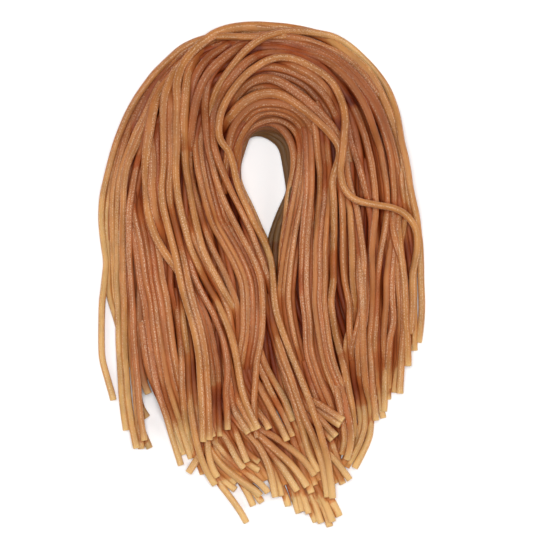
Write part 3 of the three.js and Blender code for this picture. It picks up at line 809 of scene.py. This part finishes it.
def settle_pile(pile, lanes):
    """Finds where the bundle's surface comes to lie, so that its top is at the real height."""
    work["closed"] = pile.closed(5)
    # near the outline only what is pile counts
    covered = pile.softened((work["closed"] > 0).astype(float), 9)
    work["form"] = pile.softened(work["closed"], 9) / np.maximum(covered, 0.08)
    route, lane = np.meshgrid(np.linspace(0, 1, 1400), np.linspace(0, 1, 260), indexing="ij")
    cells = pile.cells(lanes.place(route, lane).reshape(-1, 2))
    mound = np.zeros(pile.shape)
    np.maximum.at(mound, cells, lanes.mound(route, lane).ravel())
    work["mound"] = pile.softened(np.maximum(mound, 0.0042), 4)
    work["press"] = 1.0
    while settled(work["noodles"], pile) > TOP - 0.0002:
        work["press"] -= PRESS_STEP
        if work["press"] < PRESS_LEAST:
            raise RuntimeError("the pile is too high for the bundle")


def settled(noodles, pile):
    """How high the highest noodle reaches in the settled pile."""
    return max(float(come_to_lie(pile, noodle)[:, 2].max()) + noodle.radius for noodle in noodles)


def come_to_lie(pile, noodle):
    """A noodle's line after the pile has settled. A loose one also lies on what is beside it."""
    line = even_steps(noodle.line, STEP)
    low = pressed(pile, line)
    if noodle.piece == LOOSE:
        side = sideways(line[:, :2])
        for shift in BESIDE:
            beside = line.copy()
            beside[:, :2] += side * shift
            low[:, 2] = np.maximum(low[:, 2], pressed(pile, beside)[:, 2])
        low[:, 2] = blur(low[:, 2], 3)
    return low


def pressed(pile, points):
    """Points of the pile after it has settled: its surface takes the bundle's form, and the
    noodles near the surface keep their relief."""
    form = pile.read(work["form"], points)
    share = ramp(form, 0.0026, 0.0040)
    share = share * share * (3 - 2 * share)
    goal = work["press"] * pile.read(work["mound"], points)
    low_form = form + (goal - form) * share
    depth = form - points[:, 2]
    relief = np.minimum(RELIEF, 0.6 * low_form)
    below = (low_form - relief) / np.maximum(form - relief, 1e-5)
    low_depth = np.where((depth > relief) & (form > relief), relief + (depth - relief) * below, depth)
    # what stands above the form stays low too
    above = np.clip(-depth, 0, None)
    low_depth = np.where(depth < 0, -PROUD * np.log1p(above / PROUD), low_depth)
    result = points.copy()
    result[:, 2] = low_form - low_depth
    return result


def raise_core(pile, lanes, sizes):
    """Lifts the pile to the core's top where the core will be."""
    for route in np.linspace(CORE_START, CORE_END, 800):
        lane = core_lane(lanes, route, np.linspace(0, 1, 140), sizes)
        cells = pile.cells(lanes.place(np.full(140, route), lane))
        np.maximum.at(pile.height, cells, core_level(lanes, route, lane, sizes))


def core_lane(lanes, route, lane, sizes):
    """The core's own width as a share of the bundle's, with its inset taken off."""
    edges = lanes.place(np.array([route, route]), np.array([0.0, 1.0]))
    inset = sizes.core_inset / np.linalg.norm(edges[1] - edges[0])
    return 0.45 * inset + (1 - 1.45 * inset) * np.asarray(lane)


# ---------------------------------------------------------------- meshes
CUT_EDGE = 0.00016    # how far a cut's edge is rounded
CUT_PALE = 0.0016     # how far a cut's pale colour reaches
LAYERS = ("tint", "depth", "cut", "thin_glow", "side", "fold")


def section(sides, squareness):
    """The outline of a noodle's section, for a radius of 1: across, up, from the bottom round."""
    angle = -math.pi / 2 + 2 * math.pi * np.arange(sides) / sides
    across = np.sign(np.cos(angle)) * np.abs(np.cos(angle)) ** (2 / squareness)
    up = np.sign(np.sin(angle)) * np.abs(np.sin(angle)) ** (2 / squareness)
    return across, 0.95 * up


def ring_line(noodle, step):
    """The middles of a noodle's rings, and how far along it they are. Two close rings at each
    end round the edge of the cut."""
    line = come_to_lie(work["pile"], noodle)
    line[:, 2] = np.maximum(blur(line[:, 2], 2), noodle.radius)
    line = even_steps(line, step)
    length = lengths_along(line)
    along = np.concatenate([[0, CUT_EDGE], length[1:-1], [length[-1] - CUT_EDGE, length[-1]]])
    return between(along, length, line), along


def ring_points(noodle, line, across, rise, random):
    """The points of each ring. By chance a noodle swells and turns a little on its way."""
    ahead = np.gradient(line, axis=0)
    ahead /= np.linalg.norm(ahead, axis=1)[:, None]
    side = np.cross([0, 0, 1], ahead)
    side /= np.linalg.norm(side, axis=1)[:, None]
    up = np.cross(ahead, side)
    swell = 1 + blur(random.normal(size=len(line)), 5) * 0.05
    swell[[0, -1]] = 0.84
    swell[[1, -2]] = 0.98
    roll = random.uniform(-0.16, 0.16) + blur(random.normal(size=len(line)), 14) * 0.5
    # noodles are flattened where they go over the fold
    folded = ramp(line[:, 1], 0.028, 0.026) * (1 - 0.6 * ramp(np.abs(line[:, 0]), 0, 0.040))
    folded *= 0.3 if noodle.piece == LOOSE else 1.0
    wide = (noodle.half_width * swell * (1 + 0.42 * folded))[:, None] * across
    high = (noodle.radius * swell)[:, None] * rise
    sine, cosine = np.sin(roll)[:, None], np.cos(roll)[:, None]
    sidewards = (wide * cosine - high * sine)[..., None] * side[:, None]
    upwards = (wide * sine + high * cosine)[..., None] * up[:, None]
    points = (line[:, None] + sidewards + upwards).reshape(-1, 3)
    points[:, 2] = np.clip(points[:, 2], 0.00001, TOP)
    return points


def cut_share(noodle, line, along):
    """How near each ring is to a cut face. The lowest cut ends are painted pale further up, as light that
    shines through the thin tips.
    """
    cut = np.zeros(len(line))
    if noodle.cut_start:
        cut = np.maximum(cut, np.exp(-along / CUT_PALE))
    if noodle.cut_end:
        from_end = along[-1] - along
        # painted light: the lowest tips lie thinly on the floor and are lit through further up
        bottom = ramp(-line[:, 1], 0.050, 0.02)
        cut = np.maximum(cut, np.exp(-from_end / CUT_PALE))
        cut = np.maximum(cut, 0.9 * bottom * np.exp(-from_end / 0.011))
    return cut


def noodle_arrays(noodle, random, sides, step, squareness):
    """Points, loops and layers of one closed noodle: quads from ring to ring and two caps."""
    line, along = ring_line(noodle, step)
    across, rise = section(sides, squareness)
    points = ring_points(noodle, line, across, rise, random)
    rings = len(line)
    ring, corner = np.meshgrid(np.arange(rings - 1), np.arange(sides), indexing="ij")
    following = (corner + 1) % sides
    quads = np.stack([ring * sides + corner, ring * sides + following,
                      (ring + 1) * sides + following, (ring + 1) * sides + corner], axis=-1)
    caps = [np.arange(sides)[::-1], (rings - 1) * sides + np.arange(sides)]
    loops = np.concatenate([quads.reshape(-1), *caps])
    faces = (rings - 1) * sides
    starts = np.concatenate([np.arange(faces) * 4, [faces * 4, faces * 4 + sides]])
    smooth = np.arange(faces + 2) < faces
    round_share = 2 * math.pi * noodle.radius / sides
    u = np.stack([corner, corner + 1, corner + 1, corner], axis=-1).reshape(-1) * round_share
    v = np.stack([along[ring], along[ring], along[ring + 1], along[ring + 1]], axis=-1).reshape(-1)
    cap_u = np.concatenate([across[::-1], across]) * noodle.radius
    cap_v = np.concatenate([rise[::-1], rise]) * noodle.radius
    shift = random.random(2) * 0.5
    layer = np.stack([np.concatenate([u, cap_u]), np.concatenate([v, cap_v])], axis=1) + shift
    cut = np.repeat(cut_share(noodle, line, along), sides)
    tint = np.full(len(points), noodle.tint)
    # the last layer, the section's sideways reach, steers the painted shade towards a noodle's sides
    return points, loops, starts, smooth, layer, cut, tint, np.tile(np.abs(across) ** 2.0, rings)


def shades(points, tint):
    """How deep between the noodles each point lies, how much painted light it gets where the bundle
    is thin, as if the floor's light shone through it, and how far the fold shades it."""
    pile = work["pile"]
    surface = np.column_stack([points[:, :2], pile.read(work["closed"], points)])
    surface = pressed(pile, surface)[:, 2]
    depth = ramp(surface - points[:, 2], 0.0003, 0.0050)
    thin_glow = (1 - ramp(surface, 0.0022, 0.0055)) * (1 - 0.7 * np.clip(2.5 * depth, 0, 1))
    # the left shoulder gets no painted light at its rim, as the limbs do
    thin_glow *= 1 - 0.85 * ramp(points[:, 1], 0.015, 0.03) * ramp(-points[:, 0], -0.030, 0.02)
    # nor does the right flank, apart from its outermost noodles
    thin_glow *= 1 - 0.5 * ramp(points[:, 0], 0.034, 0.006) * ramp(points[:, 1], -0.035, 0.02)
    # painted shade over the fold, most of it on the browner noodles
    fold = ramp(points[:, 1], 0.030, 0.02) * (1 - thin_glow) * (1 - 0.7 * np.clip(tint, 0, 1))
    return depth, thin_glow, fold


def noodles_object(piece, sides, step, sizes, material):
    """One mesh of all the noodles of a piece."""
    random = np.random.default_rng(SEED + sum(map(ord, piece)))
    parts = [noodle_arrays(noodle, random, sides, step, sizes.squareness)
             for noodle in work["noodles"] if noodle.piece == piece]
    if not parts:
        raise RuntimeError(f"no noodles were laid for {piece}")
    arrays = [list(kind) for kind in zip(*parts)]
    points_before = np.cumsum([0] + [len(points) for points in arrays[0]])
    loops_before = np.cumsum([0] + [len(loops) for loops in arrays[1]])
    arrays[1] = [loops + shift for loops, shift in zip(arrays[1], points_before)]
    arrays[2] = [starts + shift for starts, shift in zip(arrays[2], loops_before)]
    points, loops, starts, smooth, layer, cut, tint, side = map(np.concatenate, arrays)
    depth, thin_glow, fold = shades(points, tint)
    mesh = bpy.data.meshes.new(piece)
    mesh.vertices.add(len(points))
    mesh.vertices.foreach_set("co", points.astype(np.float32).ravel())
    mesh.loops.add(len(loops))
    mesh.loops.foreach_set("vertex_index", loops.astype(np.int32))
    mesh.polygons.add(len(starts))
    mesh.polygons.foreach_set("loop_start", starts.astype(np.int32))
    mesh.polygons.foreach_set("use_smooth", smooth)
    mesh.update(calc_edges=True)
    uv = mesh.uv_layers.new(name="along")
    uv.data.foreach_set("uv", layer.astype(np.float32).ravel())
    for name, values in zip(LAYERS, (tint, depth, cut, thin_glow, side, fold)):
        held = mesh.attributes.new(name, "FLOAT", "POINT")
        held.data.foreach_set("value", values.astype(np.float32))
    mesh.validate()
    mesh.materials.append(material)
    return add_piece(piece, mesh)


def add_piece(name, mesh):
    """An object at the origin, with its place in its mesh."""
    piece = bpy.data.objects.new(name, mesh)
    bpy.context.scene.collection.objects.link(piece)
    return piece


def stand_for_bundle(piece):
    """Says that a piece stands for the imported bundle."""
    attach(piece, "root")
    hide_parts(NODE)


# ---------------------------------------------------------------- materials
def new_material(name):
    """An empty material with its one shader."""
    material = bpy.data.materials.new(name)
    material.use_nodes = True
    tree = material.node_tree
    tree.nodes.clear()
    output = tree.nodes.new("ShaderNodeOutputMaterial")
    shader = tree.nodes.new("ShaderNodeBsdfPrincipled")
    tree.links.new(shader.outputs["BSDF"], output.inputs["Surface"])
    return material, tree, shader


def attribute(tree, name):
    """A value that the mesh holds for each point."""
    node = tree.nodes.new("ShaderNodeAttribute")
    node.attribute_name = name
    return node.outputs["Fac"]


def mixed(tree, way, share, first, second):
    """Two colours mixed or multiplied, as far as the share says."""
    node = tree.nodes.new("ShaderNodeMix")
    node.data_type = "RGBA"
    node.blend_type = way
    node.clamp_factor = True
    for socket, value in ((node.inputs["Factor"], share), (node.inputs[6], first), (node.inputs[7], second)):
        put(tree, socket, value)
    return node.outputs[2]


def math_node(tree, operation, *values):
    node = tree.nodes.new("ShaderNodeMath")
    node.operation = operation
    for socket, value in zip(node.inputs, values):
        put(tree, socket, value)
    return node.outputs[0]


def product(tree, first, second):
    return math_node(tree, "MULTIPLY", first, second)


def put(tree, socket, value):
    """Links a socket to another one, or gives it a number or a colour."""
    if isinstance(value, bpy.types.NodeSocket):
        tree.links.new(value, socket)
    elif isinstance(value, (int, float)):
        socket.default_value = value
    else:
        socket.default_value = (*value, 1.0)


def ranged(tree, value, *limits):
    """A value that runs from low to high, made to run smoothly between two other numbers."""
    node = tree.nodes.new("ShaderNodeMapRange")
    node.interpolation_type = "SMOOTHSTEP"
    put(tree, node.inputs["Value"], value)
    for name, limit in zip(("From Min", "From Max", "To Min", "To Max"), limits):
        node.inputs[name].default_value = limit
    return node.outputs["Result"]


def noise(tree, coordinates, stretch, detail=2.0):
    """Noise on a noodle's own surface: stretch is marks a metre across and along it."""
    mapping = tree.nodes.new("ShaderNodeMapping")
    mapping.inputs["Scale"].default_value = (*stretch, 1.0)
    tree.links.new(coordinates, mapping.inputs["Vector"])
    node = tree.nodes.new("ShaderNodeTexNoise")
    node.noise_dimensions = "2D"
    node.inputs["Scale"].default_value = 1.0
    node.inputs["Detail"].default_value = detail
    tree.links.new(mapping.outputs["Vector"], node.inputs["Vector"])
    return node.outputs["Fac"]


def noodle_material(colours):
    """Dry starch noodle: satin, slightly see-through, with fine lines and pale grains along it, the grains
    partly a painted sheen.
    """
    material, tree, shader = new_material("dry_rice_noodle")
    uv = tree.nodes.new("ShaderNodeUVMap")
    uv.uv_map = "along"
    place = uv.outputs["UV"]
    tint, depth, cut, thin_glow, side, fold = (attribute(tree, name) for name in LAYERS)
    lines = noise(tree, place, (3800.0, 45.0), 1.0)
    grains = noise(tree, place, (4200.0, 1900.0), 2.0)
    rows = noise(tree, place, (2400.0, 16.0), 1.0)
    clouds = noise(tree, place, (260.0, 130.0), 3.0)
    base = mixed(tree, "MIX", tint, colours.brown, colours.golden)
    # painted light: where the bundle is thin the noodles are paler, as if the floor's light shone through
    # them
    base = mixed(tree, "MIX", product(tree, thin_glow, 0.8), base, colours.pale)
    # painted shade: each noodle darker and redder towards its sides
    base = mixed(tree, "MULTIPLY", side, base, colours.side)
    base = mixed(tree, "MULTIPLY", fold, base, colours.fold)
    base = mixed(tree, "MULTIPLY", 1.0, base, grey(tree, ranged(tree, clouds, 0.3, 0.7, 0.88, 1.10)))
    # pale grains in rows, partly a painted sheen: most of all on the noodles on top, faint deep down and over
    # the fold
    in_rows = ranged(tree, rows, 0.46, 0.62, 0.0, 1.0)
    dots = ranged(tree, grains, 0.48, 0.62, 0.0, 1.0)
    pale = product(tree, product(tree, in_rows, dots), ranged(tree, depth, 0.0, 0.5, 1.0, 0.15))
    pale = product(tree, pale, ranged(tree, fold, 0.0, 1.0, 1.0, 0.45))
    base = mixed(tree, "MIX", product(tree, pale, 0.58), base, colours.grain_and_sheen)
    # the cut faces' pale colour: partly the starch's own, partly painted light shining through the thin tips
    base = mixed(tree, "MIX", product(tree, cut, 0.7), base, colours.cut)
    # a tint below 0 paints shade on noodles that lie in shadow, in the wall of the eye and elsewhere
    base = mixed(tree, "MIX", product(tree, tint, -1.0), base, colours.shaded)
    # painted shade: the sides of the noodles and the gaps between them darken and redden with their depth
    # below the bundle's surface
    base = mixed(tree, "MULTIPLY", ranged(tree, depth, 0.04, 0.24, 0.0, 1.0), base, colours.flank)
    base = mixed(tree, "MULTIPLY", ranged(tree, depth, 0.32, 1.0, 0.0, 1.0), base, colours.deep)
    tree.links.new(base, shader.inputs["Base Color"])
    rough = ranged(tree, grains, 0.3, 0.7, 0.36, 0.52)
    tree.links.new(rough, shader.inputs["Roughness"])
    height = math_node(tree, "ADD", product(tree, lines, 0.5), grains)
    bump = tree.nodes.new("ShaderNodeBump")
    bump.inputs["Strength"].default_value = 0.85
    bump.inputs["Distance"].default_value = 0.00012
    tree.links.new(height, bump.inputs["Height"])
    tree.links.new(bump.outputs["Normal"], shader.inputs["Normal"])
    shader.inputs["Subsurface Weight"].default_value = 0.4
    shader.inputs["Subsurface Radius"].default_value = (1.0, 0.8, 0.6)
    shader.inputs["Subsurface Scale"].default_value = 0.0006
    shader.inputs["IOR"].default_value = 1.48
    shader.inputs["Specular IOR Level"].default_value = 0.2
    return material


def grey(tree, value):
    """A colour whose three channels are one value."""
    node = tree.nodes.new("ShaderNodeCombineColor")
    for socket in node.inputs:
        put(tree, socket, value)
    return node.outputs[0]


def core_material(colours):
    """What shows of the core between the noodles: the same dough, deep in the shade."""
    material, tree, shader = new_material("deep_noodle_core")
    coordinates = tree.nodes.new("ShaderNodeTexCoord")
    streaks = noise(tree, coordinates.outputs["Object"], (420.0, 60.0), 2.0)
    light = tuple(channel * share for channel, share in zip(colours.brown, colours.deep))
    dark = tuple(channel * 0.6 for channel in light)
    base = mixed(tree, "MIX", ranged(tree, streaks, 0.35, 0.65, 0.0, 1.0), dark, light)
    tree.links.new(base, shader.inputs["Base Color"])
    shader.inputs["Roughness"].default_value = 0.7
    return material


def floor_material():
    """The pale studio floor, mottled a very little."""
    material, tree, shader = new_material("pale_floor")
    coordinates = tree.nodes.new("ShaderNodeTexCoord")
    mottle = noise(tree, coordinates.outputs["Object"], (6.0, 6.0), 2.0)
    share = ranged(tree, mottle, 0.3, 0.7, 0.0, 1.0)
    base = mixed(tree, "MIX", share, (0.96, 0.96, 0.96), (0.98, 0.98, 0.98))
    tree.links.new(base, shader.inputs["Base Color"])
    shader.inputs["Roughness"].default_value = 0.85
    shader.inputs["Specular IOR Level"].default_value = 0.2
    return material


def shared_material():
    """The noodles' material, made once for all their pieces."""
    if "material" not in work:
        work["material"] = noodle_material(bpy.context.scene.noodle_colours)
    return work["material"]


# ---------------------------------------------------------------- operators
class NOODLES_OT_lay(Operator):
    """Settle every noodle on the pile, from the table up"""
    bl_idname = "noodles.lay"
    bl_label = "Lay the noodles"

    def execute(self, context):
        lay_bundle(context.scene.noodle_sizes)
        return {"FINISHED"}


class NOODLES_OT_core(Operator):
    """Make the core that the noodles lie on"""
    bl_idname = "noodles.core"
    bl_label = "Core"

    def execute(self, context):
        sizes = context.scene.noodle_sizes
        lanes = work["lanes"]
        shape = bmesh.new()
        bmesh.ops.create_grid(shape, x_segments=90, y_segments=16, size=0.5)
        for vert in shape.verts:
            route = CORE_START + (CORE_END - CORE_START) * (vert.co.x + 0.5)
            lane = core_lane(lanes, route, [vert.co.y + 0.5], sizes)
            place = lanes.place(np.array([route]), lane)[0]
            level = float(core_level(lanes, route, lane, sizes)[0]) - 0.0008
            low = pressed(work["pile"], np.array([[*place, level]]))[0]
            vert.co = (*place, max(CORE_LEAST, low[2]))
        underside = bmesh.ops.extrude_face_region(shape, geom=shape.faces[:])
        for element in underside["geom"]:
            if isinstance(element, bmesh.types.BMVert):
                element.co.z = 0.0004
        bmesh.ops.recalc_face_normals(shape, faces=shape.faces[:])
        mesh = bpy.data.meshes.new("bundle_core")
        shape.to_mesh(mesh)
        shape.free()
        mesh.materials.append(core_material(context.scene.noodle_colours))
        stand_for_bundle(add_piece("bundle_core", mesh))
        return {"FINISHED"}


def make_noodles(context, piece, sides, step):
    """Makes the noodles of one piece with so many sides, and rings one step apart."""
    sizes = context.scene.noodle_sizes
    stand_for_bundle(noodles_object(piece, sides, step, sizes, shared_material()))
    return {"FINISHED"}


class NOODLES_OT_hidden(Operator):
    """Make the whole noodles under and inside the bundle"""
    bl_idname = "noodles.hidden"
    bl_label = "Noodles inside"

    def execute(self, context):
        make_noodles(context, "noodles_below", 6, 0.0035)
        return make_noodles(context, "noodles_inside", 8, 0.0026)


class NOODLES_OT_limbs(Operator):
    """Make the noodles that show on the left and on the right limb"""
    bl_idname = "noodles.limbs"
    bl_label = "Limbs"

    def execute(self, context):
        make_noodles(context, LEFT, 12, 0.0016)
        return make_noodles(context, RIGHT, 12, 0.0016)


class NOODLES_OT_fold(Operator):
    """Make the noodles that run over the fold"""
    bl_idname = "noodles.fold"
    bl_label = "Fold"

    def execute(self, context):
        return make_noodles(context, FOLD, 12, 0.0014)


class NOODLES_OT_ends(Operator):
    """Make the cut ends that fan out below, and the noodles that have come loose"""
    bl_idname = "noodles.ends"
    bl_label = "Cut ends and loose noodles"

    def execute(self, context):
        make_noodles(context, TIPS, 12, 0.0016)
        return make_noodles(context, LOOSE, 14, 0.0013)


class NOODLES_OT_stage(Operator):
    """Make the floor, the lights and the camera"""
    bl_idname = "noodles.stage"
    bl_label = "Stage"

    def execute(self, context):
        shape = bmesh.new()
        bmesh.ops.create_grid(shape, x_segments=1, y_segments=1, size=2.5)
        mesh = bpy.data.meshes.new("floor")
        shape.to_mesh(mesh)
        shape.free()
        mesh.materials.append(floor_material())
        add_piece("floor", mesh)
        make_light("overhead", (0.05, 0.10, 3.4), 1.6, 87.0)
        make_light("softbox_left", (-1.15, 0.15, 0.85), 0.9, 6.0)
        make_light("softbox_right", (1.15, 0.25, 0.85), 0.9, 6.0)
        world = bpy.data.worlds.new("pale_room")
        world.use_nodes = True
        background = world.node_tree.nodes["Background"]
        background.inputs["Color"].default_value = (1.0, 1.0, 1.0, 1.0)
        background.inputs["Strength"].default_value = 0.24
        context.scene.world = world
        make_camera(context)
        context.scene.view_settings.view_transform = "Standard"
        return {"FINISHED"}


def make_light(name, place, size, power):
    """A round soft light that points at the origin."""
    data = bpy.data.lights.new(name, "AREA")
    data.shape = "DISK"
    data.size = size
    data.energy = power
    light = bpy.data.objects.new(name, data)
    light.location = place
    light.rotation_euler = (-Vector(place)).to_track_quat("-Z", "Y").to_euler()
    bpy.context.scene.collection.objects.link(light)


def make_camera(context):
    """Looks straight down on the bundle, from far away, in the photograph's frame."""
    centre = on_table((PHOTO_SIDE / 2, PHOTO_SIDE / 2))[0]
    distance, level = 2.6, 0.011
    data = bpy.data.cameras.new("camera")
    data.sensor_width = 36.0
    data.lens = 36.0 * (distance - level) / (PHOTO_SIDE * PIXEL)
    data.clip_start, data.clip_end = 0.01, 20.0
    camera = bpy.data.objects.new("camera", data)
    camera.location = (centre[0], centre[1], distance)
    context.scene.collection.objects.link(camera)
    context.scene.camera = camera


class NOODLES_PT_bundle(Panel):
    """Lists the makers of the bundle and of its stage"""
    bl_idname = "NOODLES_PT_bundle"
    bl_label = "Bundle of noodles"
    bl_space_type = "VIEW_3D"
    bl_region_type = "UI"
    bl_category = "Noodles"

    def draw(self, context):
        for group in (context.scene.noodle_sizes, context.scene.noodle_colours):
            box = self.layout.box()
            for name in group.bl_rna.properties.keys():
                if name not in ("rna_type", "name"):
                    box.prop(group, name)
        for maker in MAKERS:
            self.layout.operator(maker.bl_idname)


MAKERS = (NOODLES_OT_lay, NOODLES_OT_core, NOODLES_OT_hidden, NOODLES_OT_limbs, NOODLES_OT_fold,
          NOODLES_OT_ends, NOODLES_OT_stage)
CLASSES = (NoodleSizes, NoodleColours, *MAKERS, NOODLES_PT_bundle)


def register():
    for part in CLASSES:
        bpy.utils.register_class(part)
    bpy.types.Scene.noodle_sizes = PointerProperty(type=NoodleSizes)
    bpy.types.Scene.noodle_colours = PointerProperty(type=NoodleColours)


def unregister():
    del bpy.types.Scene.noodle_colours
    del bpy.types.Scene.noodle_sizes
    for part in reversed(CLASSES):
        bpy.utils.unregister_class(part)


def main():
    register()
    bpy.ops.noodles.lay()
    bpy.ops.noodles.core()
    bpy.ops.noodles.hidden()
    bpy.ops.noodles.limbs()
    bpy.ops.noodles.fold()
    bpy.ops.noodles.ends()
    bpy.ops.noodles.stage()


if __name__ == "__main__":
    main()
